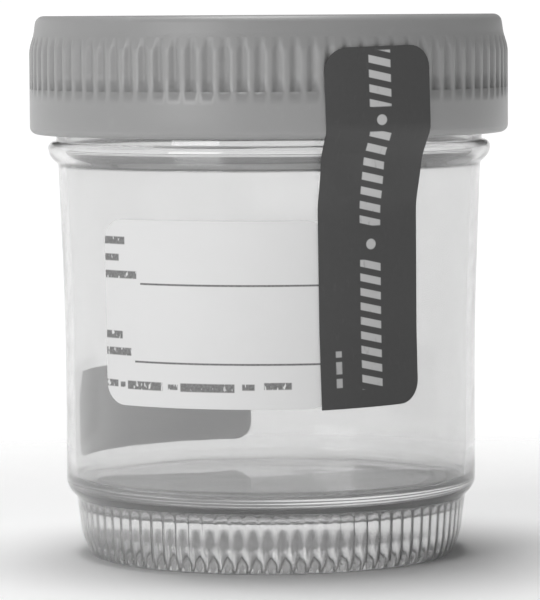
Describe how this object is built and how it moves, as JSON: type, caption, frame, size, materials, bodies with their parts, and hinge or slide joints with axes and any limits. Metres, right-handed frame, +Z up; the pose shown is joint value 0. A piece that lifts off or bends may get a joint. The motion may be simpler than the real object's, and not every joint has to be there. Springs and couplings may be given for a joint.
{
  "type": "specimen container",
  "caption": "Clear tapered cup on a ribbed foot ring, with a ribbed screw cap, paper labels and a tamper seal strip from cap to cup.",
  "frame": {"origin": "centre of the foot ring on the table", "axes": "+Z up along the cup's axis, -Y to the front, where the patient label and the seal strip are"},
  "size_m": [0.0652, 0.0652, 0.0735],
  "materials": {
    "clear_plastic": "clear moulded polypropylene",
    "cap_plastic": "satin moulded plastic",
    "liner_foam": "soft white foam",
    "label_paper": "matt white paper",
    "seal_paper": "dark printed paper"
  },
  "bodies": {
    "cup": {"container": "clear_plastic", "patient_label": "label_paper", "rear_label": "label_paper", "seal_strip_lower": "seal_paper"},
    "liner": {"sealing_liner": "liner_foam"},
    "cap": {"screw_cap": "cap_plastic", "seal_strip_upper": "seal_paper"}
  },
  "joints": [
    {"name": "cap_rise", "type": "slide", "parent": "cup", "child": "liner", "axis": [0, 0, 1], "range_m": [0, 0.023]},
    {"name": "cap_turn", "type": "hinge", "parent": "liner", "child": "cap", "pos_m": [0, 0, 0], "axis": [0, 0, 1], "range_deg": [0, 1260]}
  ],
  "couplings": [
    {"joint": "cap_rise", "follows": "cap_turn", "m_per_rad": 0.0010186}
  ]
}
